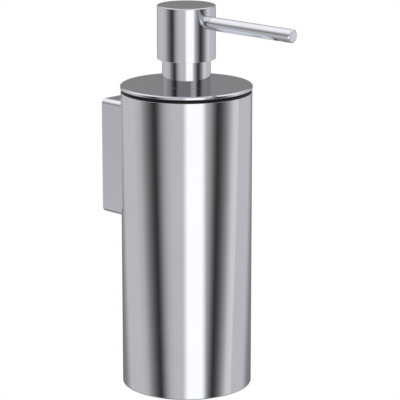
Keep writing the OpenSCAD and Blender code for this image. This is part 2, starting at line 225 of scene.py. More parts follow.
def make_tent():
    """A light tent that only metal sees: pale grey walls, two black flags and a white softbox."""
    mesh = bpy.data.meshes.new("tent")
    form = bmesh.new()
    bmesh.ops.create_icosphere(form, subdivisions=5, radius=TENT_RADIUS)
    form.to_mesh(mesh)
    form.free()
    tent = bpy.data.objects.new("tent", mesh)
    bpy.context.scene.collection.objects.link(tent)
    tent.location = AIM
    tent.rotation_euler = (0, 0, -math.radians(CAMERA_AZIMUTH))
    tent.visible_camera = False
    tent.visible_diffuse = False
    tent.visible_shadow = False

    material = bpy.data.materials.new("tent_wall")
    material.use_nodes = True
    n = Nodes(material.node_tree)
    place = n.add("ShaderNodeTexCoord").outputs["Object"]
    unit = n.add("ShaderNodeVectorMath", operation="NORMALIZE")
    n.link(place, unit.inputs[0])
    axes = n.add("ShaderNodeSeparateXYZ")
    n.link(unit.outputs[0], axes.inputs[0])
    x, y, z = axes.outputs
    rise = n.math("DEGREES", n.math("ARCSINE", z))
    turn = n.math("DEGREES", n.math("ARCTAN2", x, n.math("MULTIPLY", y, -1.0)))
    side = n.math("ABSOLUTE", turn)

    # The flags lean towards each other further down
    below = n.math("MAXIMUM", n.math("SUBTRACT", -11.0, rise), 0.0)
    bend = n.math("MULTIPLY", n.math("POWER", below, 2.0), 0.055)
    lean = n.math("ADD", n.math("MULTIPLY", below, 0.75), bend)
    flag = n.math("MAXIMUM", n.math("SUBTRACT", 57.6, lean), 44.0)
    seen = n.math("MINIMUM", n.math("DIVIDE", n.math("MULTIPLY", side, FLAG_PLACE), flag), 180.0)
    share = n.math("DIVIDE", seen, 180.0)
    left = n.ramp(share, [(angle / 180, tone) for angle, tone in LEFT])
    right = n.ramp(share, [(angle / 180, tone) for angle, tone in RIGHT])
    wall = n.blend(n.step(turn, -1.0, 1.0), left, right)

    # Softbox: a tall white panel right of the camera
    box = n.math("MULTIPLY", n.step(turn, -8.0, 4.0), n.step(turn, 25.0, 37.0, 1.0, 0.0))
    low_part = n.blend(box, wall, SOFTBOX)

    # Above the horizon the walls are dimmer, then rise to the tent's bright shoulders
    around = n.math("ADD", n.math("DIVIDE", turn, 360.0), 0.5)
    high_part = n.ramp(around, [(angle / 360 + 0.5, tone) for angle, tone in UPPER])
    high_part = n.blend(n.step(rise, 9.0, 46.0), high_part, WALL_OVERHEAD)
    high_part = n.blend(n.step(rise, 52.0, 80.0), high_part, TENT_TOP)
    tone = n.blend(n.step(rise, -4.0, 9.0), low_part, high_part)
    ground = n.math("MULTIPLY", n.math("ADD", n.math("MULTIPLY", wall, GROUND_WALL), GROUND_ADDED), GROUND)
    tone = n.blend(n.step(rise, -21.0, -34.0), tone, ground)

    glow = n.add("ShaderNodeEmission")
    n.link(tone, glow.inputs["Strength"])
    output = n.add("ShaderNodeOutputMaterial")
    n.link(glow.outputs[0], output.inputs["Surface"])
    material.cycles.emission_sampling = "NONE"
    mesh.materials.append(material)


def make_floor():
    """A pale round floor far below, fading into the white round it."""
    mesh = bpy.data.meshes.new("floor")
    form = bmesh.new()
    bmesh.ops.create_circle(form, cap_ends=True, segments=96, radius=FLOOR_RADIUS)
    form.to_mesh(mesh)
    form.free()
    floor = bpy.data.objects.new("floor", mesh)
    bpy.context.scene.collection.objects.link(floor)
    floor.visible_glossy = False
    floor.location = (AXIS.x, AXIS.y, OBJECT_MIDDLE.z - FLOOR_DROP)

    material = bpy.data.materials.new("floor_paint")
    material.use_nodes = True
    n = Nodes(material.node_tree)
    place = n.add("ShaderNodeTexCoord").outputs["Object"]
    reach = n.add("ShaderNodeVectorMath", operation="LENGTH")
    n.link(place, reach.inputs[0])
    grain = n.add("ShaderNodeTexNoise")
    grain.inputs["Scale"].default_value = 9
    n.link(place, grain.inputs["Vector"])
    paint = n.add("ShaderNodeBsdfDiffuse")
    n.link(n.ramp(grain.outputs["Fac"], [(0.3, 0.90), (0.7, 0.94)]), paint.inputs["Color"])
    white = n.add("ShaderNodeEmission")
    mixed = n.add("ShaderNodeMixShader")
    n.link(n.step(reach.outputs["Value"], 0.6, 2.6), mixed.inputs[0])
    n.link(paint.outputs[0], mixed.inputs[1])
    n.link(white.outputs[0], mixed.inputs[2])
    output = n.add("ShaderNodeOutputMaterial")
    n.link(mixed.outputs[0], output.inputs["Surface"])
    material.cycles.emission_sampling = "NONE"
    mesh.materials.append(material)


def make_world():
    """White where it is seen or mirrored, and a soft even light on everything else."""
    world = bpy.data.worlds.new("studio")
    bpy.context.scene.world = world
    world.use_nodes = True
    n = Nodes(world.node_tree)
    rays = n.add("ShaderNodeLightPath")
    seen = n.math("ADD", rays.outputs["Is Camera Ray"], rays.outputs["Is Glossy Ray"], clamp=True)
    seen = n.math("ADD", seen, rays.outputs["Is Transmission Ray"], clamp=True)
    background = n.add("ShaderNodeBackground")
    background.inputs["Color"].default_value = (1, 1, 1, 1)
    n.link(n.blend(seen, 0.72, 1.0), background.inputs["Strength"])
    output = n.add("ShaderNodeOutputWorld")
    n.link(background.outputs[0], output.inputs["Surface"])


def make_lamp(name, azimuth, elevation, distance, size, power):
    """A square soft lamp aimed at the object. Its mirror image is the tent's."""
    data = bpy.data.lights.new(name, "AREA")
    data.size = size
    data.energy = power
    lamp = bpy.data.objects.new(name, data)
    bpy.context.scene.collection.objects.link(lamp)
    lamp.location = OBJECT_MIDDLE + direction(azimuth, elevation) * distance
    lamp.rotation_euler = (OBJECT_MIDDLE - lamp.location).to_track_quat("-Z", "Y").to_euler()
    lamp.visible_glossy = False
    lamp.visible_camera = False


# ---------------------------------------------------------------- materials

def surface(name, colour, roughness, metallic=0.0, **sockets):
    """A material with a Principled shader; returns it with its nodes, shader and coordinates."""
    material = bpy.data.materials.new(name)
    material.use_nodes = True
    n = Nodes(material.node_tree)
    shader = n.add("ShaderNodeBsdfPrincipled")
    shader.inputs["Base Color"].default_value = (*colour, 1)
    shader.inputs["Roughness"].default_value = roughness
    shader.inputs["Metallic"].default_value = metallic
    for socket, value in sockets.items():
        shader.inputs[socket.replace("_", " ")].default_value = value
    output = n.add("ShaderNodeOutputMaterial")
    n.link(shader.outputs[0], output.inputs["Surface"])
    place = n.add("ShaderNodeTexCoord").outputs["Object"]
    return material, n, shader, place


def noise(n, place, scale, detail=2.0, stretch=(1, 1, 1)):
    """Noise with about scale features to the metre, squeezed or stretched along the axes."""
    if tuple(stretch) != (1, 1, 1):
        mapping = n.add("ShaderNodeMapping")
        mapping.inputs["Scale"].default_value = stretch
        n.link(place, mapping.inputs["Vector"])
        place = mapping.outputs[0]
    node = n.add("ShaderNodeTexNoise")
    node.inputs["Scale"].default_value = scale
    node.inputs["Detail"].default_value = detail
    n.link(place, node.inputs["Vector"])
    return node.outputs["Fac"]


def shade(n, shader, value, colour, spread):
    """Varies the base colour by spread either side of colour."""
    darker = [c * (1 - spread) for c in colour]
    lighter = [min(1.0, c * (1 + spread)) for c in colour]
    n.link(n.ramp(value, [(0.3, darker), (0.7, lighter)]), shader.inputs["Base Color"])


def roughen(n, shader, value, low, high):
    n.link(n.step(value, 0.3, 0.7, low, high), shader.inputs["Roughness"])


def emboss(n, shader, value, depth):
    """Bump of this depth in metres."""
    bump = n.add("ShaderNodeBump")
    bump.inputs["Strength"].default_value = 1.0
    bump.inputs["Distance"].default_value = depth
    n.link(value, bump.inputs["Height"])
    n.link(bump.outputs[0], shader.inputs["Normal"])


def chrome():
    """Polished chrome: a clean mirror with a trace of cloudiness and polishing waves."""
    colour = (0.762, 0.775, 0.822)
    material, n, shader, place = surface("chrome", colour, 0.04, 1.0)
    cloud = noise(n, place, 55, 3)
    shade(n, shader, cloud, colour, 0.012)
    hair = noise(n, place, 900, 2, (1, 1, 0.06))
    roughen(n, shader, n.blend(0.5, cloud, hair), 0.028, 0.06)
    emboss(n, shader, noise(n, place, 120, 1), 0.0000006)
    return material


def brushed(name, colour, roughness, stretch):
    """Steel with fine brushed or drawn lines."""
    material, n, shader, place = surface(name, colour, roughness, 1.0)
    lines = noise(n, place, 2200, 3, stretch)
    patch = noise(n, place, 160, 3)
    shade(n, shader, n.blend(0.6, patch, lines), colour, 0.09)
    roughen(n, shader, lines, roughness * 0.8, roughness * 1.25)
    emboss(n, shader, lines, 0.000006)
    return material


def polished_steel(name, colour):
    material, n, shader, place = surface(name, colour, 0.12, 1.0)
    shade(n, shader, noise(n, place, 700, 3), colour, 0.03)
    roughen(n, shader, noise(n, place, 1600, 2), 0.08, 0.16)
    return material


def moulded(name, colour, roughness, grain_depth, grain_scale=2600, **sockets):
    """Moulded plastic or rubber: fine die texture and slightly uneven sheen."""
    material, n, shader, place = surface(name, colour, roughness, 0.0, **sockets)
    grain = noise(n, place, grain_scale, 3)
    flow = noise(n, place, 70, 3)
    shade(n, shader, n.blend(0.35, flow, grain), colour, 0.08)
    roughen(n, shader, n.blend(0.5, flow, grain), roughness * 0.85, roughness * 1.15)
    emboss(n, shader, grain, grain_depth)
    return material


MATERIALS = {
    "chrome": chrome(),
    "plate_steel": brushed("plate_steel", (0.60, 0.61, 0.63), 0.34, (0.04, 1, 1)),
    "screw_steel": brushed("screw_steel", (0.55, 0.56, 0.57), 0.28, (1, 0.1, 1)),
    "nut_brass": brushed("nut_brass", (0.78, 0.60, 0.30), 0.30, (1, 1, 0.1)),
    "spring_steel": polished_steel("spring_steel", (0.60, 0.61, 0.62)),
    "ball_steel": polished_steel("ball_steel", (0.72, 0.73, 0.74)),
    "black_plastic": moulded("black_plastic", (0.009, 0.009, 0.010), 0.42, 0.000012, Specular_IOR_Level=0.25),
    "white_plastic": moulded("white_plastic", (0.80, 0.80, 0.78), 0.36, 0.000006),
    "clear_plastic": moulded("clear_plastic", (0.70, 0.73, 0.73), 0.22, 0.000003,
                             Transmission_Weight=0.5, IOR=1.5),
    "rubber": moulded("rubber", (0.009, 0.009, 0.010), 0.5, 0.000003, 3600, Specular_IOR_Level=0.2),
}


# ---------------------------------------------------------------- shapes

def fillet(outline, closed=True, steps=5):
    """Rounds the corners of an outline. A point is (r, z) or (r, z, radius)."""
    count = len(outline)
    rounded = []
    for i, point in enumerate(outline):
        here = Vector(point[:2])
        size = point[2] if len(point) > 2 else 0
        if not size or (not closed and i in (0, count - 1)):
            rounded.append(here)
            continue
        back = Vector(outline[i - 1][:2]) - here
        on = Vector(outline[(i + 1) % count][:2]) - here
        half = back.angle(on) / 2
        cut = min(size / math.tan(half), back.length * 0.49, on.length * 0.49)
        start = here + back.normalized() * cut
        end = here + on.normalized() * cut
        reach = cut * math.tan(half)
        middle = here + (back.normalized() + on.normalized()).normalized() * (reach / math.sin(half))
        a, b = start - middle, end - middle
        sweep = a.angle_signed(b)
        for k in range(steps + 1):
            turned = a.copy()
            turned.rotate(Matrix.Rotation(-sweep * k / steps, 2))
            rounded.append(middle + turned)
    return rounded


def mesh_object(name, form, slot):
    """A finished mesh piece from a bmesh, with its material."""
    bmesh.ops.remove_doubles(form, verts=form.verts, dist=2e-8)
    bmesh.ops.recalc_face_normals(form, faces=form.faces)
    mesh = bpy.data.meshes.new(name)
    form.to_mesh(mesh)
    form.free()
    piece = bpy.data.objects.new(name, mesh)
    bpy.context.scene.collection.objects.link(piece)
    mesh.materials.append(MATERIALS[slot])
    return piece


def turned(name, outline, slot, centre=None, along="z", segments=128, closed=True, wave=None, steps=5):
    """An outline of (radius, height) turned round a line through centre. An open outline starts
    and ends on the line. wave(radius, height, angle) may change a radius, as a thread does."""
    points = fillet(outline, closed, steps)
    centre = Vector((AXIS.x, AXIS.y, 0)) if centre is None else Vector(centre)
    form = bmesh.new()
    rings = []
    for r, z in points:
        ring = []
        for k in range(segments):
            angle = TAU * k / segments
            reach = wave(r, z, angle) if wave else r
            spot = Vector((reach * math.cos(angle), reach * math.sin(angle), z))
            if along == "y":
                spot = Vector((spot.x, -spot.z, spot.y))
            ring.append(form.verts.new(centre + spot))
            if r < 1e-7:
                break
        rings.append(ring)
    pairs = zip(rings, rings[1:] + rings[:1]) if closed else zip(rings, rings[1:])
    for lower, upper in pairs:
        for k in range(segments):
            quad = [lower[k % len(lower)], lower[(k + 1) % len(lower)],
                    upper[(k + 1) % len(upper)], upper[k % len(upper)]]
            corners = list(dict.fromkeys(quad))
            if len(corners) > 2:
                form.faces.new(corners)
    return mesh_object(name, form, slot)


def prism(name, outline, low, high, slot, along="z", centre=(0, 0, 0), edge=0.0):
    """A flat outline pushed from low to high along Z, or along -Y, with its rims bevelled."""
    form = bmesh.new()
    sides = []
    for level in (low, high):
        spots = [Vector((a, b, level)) if along == "z" else Vector((a, -level, b)) for a, b in outline]
        sides.append([form.verts.new(Vector(centre) + s) for s in spots])
    form.faces.new(sides[0])
    form.faces.new(sides[1])
    count = len(outline)
    for k in range(count):
        form.faces.new([sides[0][k], sides[0][(k + 1) % count], sides[1][(k + 1) % count], sides[1][k]])
    if edge:
        rims = [e for e in form.edges if all(v in sides[0] for v in e.verts) or
                all(v in sides[1] for v in e.verts)]
        bmesh.ops.bevel(form, geom=rims, offset=edge, segments=3, profile=0.5, affect="EDGES")
    return mesh_object(name, form, slot)


def polygon(sides, across):
    """Corners of a regular polygon, across its flats."""
    reach = across / 2 / math.cos(math.pi / sides)
    return [(reach * math.cos(TAU * (k + 0.5) / sides), reach * math.sin(TAU * (k + 0.5) / sides))
            for k in range(sides)]


def rounded_rectangle(width, height, radius, steps=10):
    half_w, half_h = width / 2, height / 2
    return [tuple(p) for p in fillet([(half_w, half_h, radius), (-half_w, half_h, radius),
                                      (-half_w, -half_h, radius), (half_w, -half_h, radius)],
                                     True, steps)]


def combine(piece, tool, operation="DIFFERENCE"):
    """Cuts tool from piece, or joins it on, and removes the tool."""
    change = piece.modifiers.new("change", "BOOLEAN")
    change.object = tool
    change.operation = operation
    change.solver = "EXACT"
    bpy.context.view_layer.update()
    graph = bpy.context.evaluated_depsgraph_get()
    mesh = bpy.data.meshes.new_from_object(piece.evaluated_get(graph))
    piece.modifiers.clear()
    piece.data = mesh
    bpy.data.objects.remove(tool)
    form = bmesh.new()
    form.from_mesh(mesh)
    bmesh.ops.remove_doubles(form, verts=form.verts, dist=1e-7)
    bmesh.ops.dissolve_degenerate(form, dist=1e-7, edges=form.edges)
    form.to_mesh(mesh)
    form.free()
    return piece


def place(piece, node, body, slot):
    """Finishes a piece that stands for a CAD node."""
    mesh = piece.data
    mesh.shade_smooth()
    mesh.set_sharp_from_angle(angle=SMOOTH_BELOW)
    normals = piece.modifiers.new("normals", "WEIGHTED_NORMAL")
    normals.keep_sharp = True
    normals.weight = 80
    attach(piece, body)
    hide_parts(node)
    return piece


def sweep(name, path, radius, sides, slot):
    """A round wire along a path, with flat caps at its ends."""
    form = bmesh.new()
    rings = []
    side = None
    for i, spot in enumerate(path):
        ahead = (path[min(i + 1, len(path) - 1)] - path[max(i - 1, 0)]).normalized()
        side = ahead.orthogonal() if side is None else side - ahead * side.dot(ahead)
        side.normalize()
        other = ahead.cross(side)
        rings.append([form.verts.new(spot + radius * (side * math.cos(TAU * k / sides) +
                                                      other * math.sin(TAU * k / sides)))
                      for k in range(sides)])
    for lower, upper in zip(rings, rings[1:]):
        for k in range(sides):
            form.faces.new([lower[k], lower[(k + 1) % sides], upper[(k + 1) % sides], upper[k]])
    form.faces.new(rings[0])
    form.faces.new(rings[-1])
    return mesh_object(name, form, slot)


def thread(pitch, depth, low, high, least):
    """A wave for turned(): a thread of that pitch on radii of at least least, between two heights."""
    def cut(r, z, angle):
        if r < least or not low < z < high:
            return r
        phase = (z / pitch - angle / TAU) % 1
        fade = min(1, (z - low) / pitch, (high - z) / pitch)
        return r - depth * fade * (0.5 - 0.5 * math.cos(TAU * phase))
    return cut


def ladder(r, low, high, rung):
    """Points up a straight wall, one every rung."""
    count = max(2, math.ceil(abs(high - low) / rung))
    return [(r, low + (high - low) * k / count) for k in range(1, count)]


# ---------------------------------------------------------------- bracket and shell

def wall_plate():
    low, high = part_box("wall_plate")
    thick = high.y - low.y
    points = cad_points("wall_plate")
    front_top = max(p.z for p in points if abs(p.y - low.y) < 1e-5)
    back_top = max(p.z for p in points if abs(p.y - high.y) < 1e-5)
    form = bmesh.new()
    profile = [(high.y, low.z), (high.y, back_top), (low.y, front_top), (low.y, low.z)]
    ends = [[form.verts.new((x, y, z)) for y, z in profile] for x in (low.x, high.x)]
    form.faces.new(ends[0])
    form.faces.new(ends[1])
    for k in range(4):
        form.faces.new([ends[0][k], ends[0][(k + 1) % 4], ends[1][(k + 1) % 4], ends[1][k]])
    bmesh.ops.bevel(form, geom=form.edges[:], offset=0.35 * MM, segments=3, profile=0.5, affect="EDGES")
    plate = mesh_object("wall_plate_steel", form, "plate_steel")
    holes = frame_mount("wall_screw_holes")
    spread = holes["spacing_y_mm"] * MM / 2
    hole_r = holes["hole_r_mm"] * MM
    sink_r = 4.2 * MM
    for z in (-spread, spread):
        cut = [(0, thick + MM), (sink_r + 0.3 * MM, thick + MM), (sink_r + 0.3 * MM, thick + 0.01 * MM),
               (sink_r, thick - 0.15 * MM), (hole_r, thick - (sink_r - hole_r)), (hole_r, -MM), (0, -MM)]
        combine(plate, turned("drill", cut, "plate_steel", (0, 0, z), "y", 64, False))
    place(plate, "wall_plate", "bracket", "plate_steel")


def frame_mount(name):
    """The measures of a mount in the record."""
    mount = next(m for m in frame["record"]["mounts"] if m["name"] == name)
    found = {}
    for part in [mount] + [v for v in mount.values() if isinstance(v, dict)]:
        found.update({k: v for k, v in part.items() if isinstance(v, (int, float))})
    return found


def bracket_block():
    low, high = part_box("bracket_block")
    tube_r = widest("body_sleeve")
    edge_r = 2.4 * MM
    reach = -low.y
    outline = rounded_rectangle(high.x - low.x, high.z - low.z, edge_r)
    block = prism("bracket_block_chrome", outline, 0, reach, "chrome", "y", edge=0.0)
    form = bmesh.new()
    form.from_mesh(block.data)
    rim = [e for e in form.edges if all(abs(v.co.y) < 1e-7 for v in e.verts)]
    bmesh.ops.bevel(form, geom=rim, offset=0.25 * MM, segments=3, profile=0.5, affect="EDGES")
    form.to_mesh(block.data)
    form.free()
    saddle_r = tube_r + 0.02 * MM
    saddle = [(0, low.z - MM), (saddle_r, low.z - MM), (saddle_r, high.z + MM), (0, high.z + MM)]
    combine(block, turned("saddle", saddle, "chrome", None, "z", 256, False))
    pocket(block)
    place(block, "bracket_block", "bracket", "chrome")


def pocket(block):
    """Cuts the pocket for the wall plate and the holes of the screws in the block."""
    low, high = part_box("bracket_block")
    depth = 6.2 * MM
    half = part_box("wall_plate")[1].x + 0.3 * MM
    # The block's outline has points at the same width, on its top and bottom faces
    inside = high.z - MM / 2
    points = [p for p in cad_points("bracket_block") if abs(abs(p.x) - half) < 1e-5 and abs(p.z) < inside]
    top_front = max(p.z for p in points if p.y < -depth + MM)
    top_back = max(p.z for p in points if p.y > -MM / 10)
    floor = min(p.z for p in points)
    form = bmesh.new()
    slope = (top_front - top_back) / depth
    profile = [(MM, floor), (MM, top_back - slope * MM), (-depth, top_front), (-depth, floor)]
    ends = [[form.verts.new((x, y, z)) for y, z in profile] for x in (-half, half)]
    form.faces.new(ends[0])
    form.faces.new(ends[1])
    for k in range(4):
        form.faces.new([ends[0][k], ends[0][(k + 1) % 4], ends[1][(k + 1) % 4], ends[1][k]])
    combine(block, mesh_object("pocket", form, "chrome"))
    screw_low, screw_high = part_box("body_screws")
    head_r = widest("body_screws")
    screw_r = 2.02 * MM
    for z in (screw_high.z - head_r, screw_low.z + head_r):
        hole = [(0, depth - MM), (screw_r, depth - MM), (screw_r, -low.y + MM), (0, -low.y + MM)]
        combine(block, turned("drill", hole, "chrome", (0, 0, z), "y", 48, False))
    set_low, set_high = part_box("set_screw")
    middle = (0, (set_low.y + set_high.y) / 2, 0)
    r = widest("set_screw")
    rim = 0.25 * MM
    hole_r = r + 0.02 * MM
    hole = [(0, low.z - MM), (r + rim + MM, low.z - MM), (hole_r, low.z + rim), (hole_r, floor + MM),
            (0, floor + MM)]
    combine(block, turned("drill", hole, "chrome", middle, "z", 48, False))


def set_screw():
    low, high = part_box("set_screw")
    r = widest("set_screw")
    middle = (0, (low.y + high.y) / 2, 0)
    rung = 0.1 * MM
    outline = [(0, low.z), (r, low.z, 0.2 * MM), *ladder(r, low.z + 0.4 * MM, high.z - 0.3 * MM, rung),
               (r, high.z - 0.3 * MM), (r - 0.5 * MM, high.z), (0, high.z)]
    wave = thread(0.7 * MM, 0.35 * MM, low.z + 0.3 * MM, high.z - 0.3 * MM, r - rung)
    screw = turned("set_screw_steel", outline, "screw_steel", middle, "z", 48, False, wave)
    socket = prism("socket", polygon(6, r * math.cos(math.pi / 6)), low.z - MM, low.z + r, "screw_steel",
                   centre=middle)
    combine(screw, socket)
    place(screw, "set_screw", "bracket", "screw_steel")


def body_screws():
    low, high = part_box("body_screws")
    head_r = widest("body_screws")
    shank_r = 2 * MM
    points = cad_points("body_screws")
    seat = max(p.y for p in points if abs(p.x) > shank_r + 0.5 * MM)
    pair = None
    for z in (low.z + head_r, high.z - head_r):
        front, tip = -low.y, -high.y
        head_top, under = front, -seat
        outline = [(0, head_top), (head_r * 0.62, head_top, 0.3 * MM),
                   (head_r * 0.93, (head_top + under) / 2, MM),
                   (head_r, under, 0.12 * MM), (shank_r, under)]
        outline += ladder(shank_r, under, tip + 0.3 * MM, 0.1 * MM)
        outline += [(shank_r, tip + 0.3 * MM), (shank_r - 0.4 * MM, tip), (0, tip)]
        wave = thread(0.7 * MM, 0.35 * MM, tip + 0.2 * MM, under - 1.5 * MM, shank_r - 0.1 * MM)
        screw = turned("body_screws_steel", outline, "screw_steel", (0, 0, z), "y", 64, False, wave)
        socket = prism("socket", polygon(6, head_r * 0.7), head_top - 1.3 * MM, head_top + MM, "screw_steel",
                       "y", (0, 0, z))
        combine(screw, socket)
        pair = screw if pair is None else combine(pair, screw, "UNION")
    place(pair, "body_screws", "bracket", "screw_steel")


def body_sleeve():
    low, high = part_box("body_sleeve")
    r = widest("body_sleeve")
    bore = widest("base_disc") + 0.02 * MM
    edge = 0.12 * MM
    outline = [(bore, low.z, edge), (r, low.z, 0.7 * MM), (r, high.z, edge), (bore, high.z, edge)]
    sleeve = turned("body_sleeve_chrome", outline, "chrome", segments=256, steps=8)
    screw_low, screw_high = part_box("body_screws")
    head_r = widest("body_screws")
    hole_r = 2.1 * MM
    for z in (screw_low.z + head_r, screw_high.z - head_r):
        hole = [(0, 0), (hole_r, 0), (hole_r, -AXIS.y), (0, -AXIS.y)]
        combine(sleeve, turned("drill", hole, "chrome", (0, 0, z), "y", 48, False))
    place(sleeve, "body_sleeve", "bracket", "chrome")


def base_disc():
    low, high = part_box("base_disc")
    r = widest("base_disc")
    outline = [(0, low.z), (r, low.z, 0.15 * MM), (r, high.z, 0.1 * MM), (0, high.z)]
    place(turned("base_disc_chrome", outline, "chrome", segments=256, closed=False),
          "base_disc", "bracket", "chrome")


# ---------------------------------------------------------------- container

def container():
    bottom, floor, shoulder, seat, top = heights("container")
    r = radii("container", bottom)[0]
    mouth = radii("container", floor)[0]
    shoulder_r = radii("container", shoulder)[-1]
    flange_r = radii("container", top)[-1]
    outline = [(0, bottom + 0.6 * MM), (r - 6 * MM, bottom + 0.6 * MM, 0.3 * MM),
               (r - 6.6 * MM, bottom, 0.4 * MM),
               (r, bottom, 2 * MM), (r, shoulder, 0.3 * MM), (shoulder_r, shoulder, 0.3 * MM),
               (shoulder_r, seat, 0.1 * MM), (flange_r, seat, 0.15 * MM), (flange_r, top, 0.15 * MM),
               (mouth, top, 0.35 * MM), (mouth, floor, 1.2 * MM), (0, floor)]
    place(turned("container_shell", outline, "black_plastic", segments=192, closed=False),
          "container", "container", "black_plastic")


# ---------------------------------------------------------------- lid and pump

def lid_disc():
    low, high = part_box("lid_disc")
    r = widest("lid_disc")
    hole = radii("lid_disc", heights("lid_disc")[-1])[0]
    flat_r = radii("lid_disc", heights("lid_disc")[-1])[-1]
    bevel = r - flat_r
    soft = 0.12 * MM
    outline = [(hole, low.z), (r - bevel / 3, low.z, soft), (r, low.z + bevel / 3, soft),
               (r, high.z - bevel, soft), (flat_r, high.z, soft), (hole, high.z)]
    place(turned("lid_chrome", outline, "chrome", segments=256), "lid_disc", "lid", "chrome")


def lid_gasket():
    low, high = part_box("lid_gasket")
    r = widest("lid_gasket")
    inner = radii("lid_gasket", heights("lid_gasket")[0])[0]
    outline = [(inner, low.z, 0.1 * MM), (r, low.z, 0.2 * MM), (r, high.z, 0.2 * MM),
               (inner, high.z, 0.1 * MM)]
    place(turned("lid_gasket_ring", outline, "rubber", segments=256), "lid_gasket", "lid", "rubber")


def lid_stopper():
    skirt, groove_low, groove_high, under, top = heights("lid_stopper")
    r = radii("lid_stopper", skirt)[-1]
    inner = radii("lid_stopper", skirt)[0]
    hole = radii("lid_stopper", top)[0]
    groove = radii("lid_stopper", groove_low)[0]
    soft = 0.25 * MM
    outline = [(hole, under), (inner, under, 0.5 * MM), (inner, skirt, soft), (r - 0.6 * MM, skirt, soft),
               (r, skirt + 0.8 * MM, soft), (r, groove_low, 0.1 * MM), (groove, groove_low, 0.2 * MM),
               (groove, groove_high, 0.2 * MM), (r, groove_high, 0.1 * MM), (r, top, soft), (hole, top)]
    stopper = turned("lid_stopper_plug", outline, "white_plastic", segments=192)
    nut_reach = widest("collar_nut") + 0.6 * MM
    web = 1.2 * MM
    for k in range(8):
        rib = prism("rib", [(nut_reach, -web / 2), (inner + MM, -web / 2), (inner + MM, web / 2),
                            (nut_reach, web / 2)], skirt + 1.5 * MM, under + 0.5 * MM, "white_plastic")
        turn = Matrix.Rotation(TAU * (k + 0.5) / 8, 4, "Z")
        rib.data.transform(Matrix.Translation((AXIS.x, AXIS.y, 0)) @ turn)
        combine(stopper, rib, "UNION")
    place(stopper, "lid_stopper", "lid", "white_plastic")


def stopper_o_ring():
    low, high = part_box("stopper_o_ring")
    r = widest("stopper_o_ring")
    thick = (high.z - low.z) / 2
    middle = (low.z + high.z) / 2
    outline = [(r - thick + thick * math.cos(TAU * k / 24), middle + thick * math.sin(TAU * k / 24))
               for k in range(24)]
    place(turned("stopper_ring", outline, "rubber", segments=160), "stopper_o_ring", "lid", "rubber")


def collar():
    low, seat, shoulder, top = heights("collar")
    r = radii("collar", top)[-1]
    bore = radii("collar", top)[0]
    spigot = radii("collar", low)[-1]
    channel = radii("collar", low)[0]
    soft = 0.15 * MM
    rung = 0.125 * MM
    lid_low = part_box("lid_disc")[0].z
    outline = [(channel, low, soft), (spigot - 0.4 * MM, low), *ladder(spigot, low, lid_low, rung),
               (spigot, lid_low), (spigot, seat), (r - 0.05 * MM, seat), (r, seat + 0.05 * MM),
               (r, top, 0.25 * MM), (bore, top, 0.25 * MM), (bore, shoulder), (channel, shoulder, soft)]
    wave = thread(MM, 0.55 * MM, low, lid_low - 0.2 * MM, spigot - 0.05 * MM)
    place(turned("collar_chrome", outline, "chrome", segments=160, wave=wave), "collar", "lid", "chrome")


def collar_nut():
    low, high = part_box("collar_nut")
    bore = radii("collar_nut", heights("collar_nut")[0])[0]
    corner = widest("collar_nut")
    flats = corner * math.cos(math.pi / 6)
    nut = turned("collar_nut_brass", [(bore, low.z, 0.3 * MM), (flats, low.z), (corner, low.z + 0.8 * MM),
                                      (corner, high.z - 0.8 * MM), (flats, high.z), (bore, high.z, 0.3 * MM)],
                 "nut_brass")
    hexagon = prism("hexagon", [(x, y) for x, y in polygon(6, 2 * flats)], low.z - MM, high.z + MM,
                    "nut_brass")
    hexagon.data.transform(Matrix.Translation((AXIS.x, AXIS.y, 0)) @ Matrix.Rotation(math.pi / 6, 4, "Z"))
    combine(nut, hexagon, "INTERSECT")
    place(nut, "collar_nut", "lid", "nut_brass")


def washer(node, name, slot, body, soft):
    """A flat ring with rounded rims, such as a gasket or a bush."""
    low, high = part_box(node)
    inner, outer = radii(node, heights(node)[0])
    outline = [(inner, low.z, soft), (outer, low.z, soft), (outer, high.z, soft), (inner, high.z, soft)]
    place(turned(name, outline, slot, segments=128), node, body, slot)


def pump_housing():
    socket_low, floor_low, floor, flange, top = heights("pump_housing")
    channel, socket_r = radii("pump_housing", socket_low)
    hole, _, _, r = radii("pump_housing", floor_low)
    bore = radii("pump_housing", floor)[-1]
    flange_r = radii("pump_housing", top)[-1]
    soft = 0.3 * MM
    outline = [(channel, socket_low, 0.2 * MM), (socket_r, socket_low, soft), (socket_r, floor_low, 0.5 * MM),
               (r, floor_low, MM), (r, flange, 0.4 * MM), (flange_r, flange, 0.2 * MM),
               (flange_r, top, 0.2 * MM), (bore, top, 0.3 * MM), (bore, floor, 0.4 * MM), (hole, floor),
               (hole, floor_low), (channel, floor_low)]
    place(turned("pump_housing_shell", outline, "white_plastic", segments=96),
          "pump_housing", "lid", "white_plastic")


def cross_bars(piece, low, high, reach, slot):
    """Joins the crossed bars that stop a ball onto a piece."""
    half = (high - low) / 2
    for turn in (0, math.pi / 2):
        bar = prism("bar", [(-reach, -half), (reach, -half), (reach, half), (-reach, half)], low, high, slot)
        bar.data.transform(Matrix.Translation((AXIS.x, AXIS.y, 0)) @ Matrix.Rotation(turn, 4, "Z"))
        combine(piece, bar, "UNION")


def valve_cage():
    low, bars, top = heights("valve_cage")
    bore, r = radii("valve_cage", low)
    outline = [(bore, low, 0.2 * MM), (r, low, 0.3 * MM), (r, top, 0.3 * MM), (bore, top, 0.15 * MM)]
    cage = turned("valve_cage_ring", outline, "white_plastic", segments=96)
    cross_bars(cage, bars, top - 0.05 * MM, bore + 0.5 * MM, "white_plastic")
    place(cage, "valve_cage", "lid", "white_plastic")


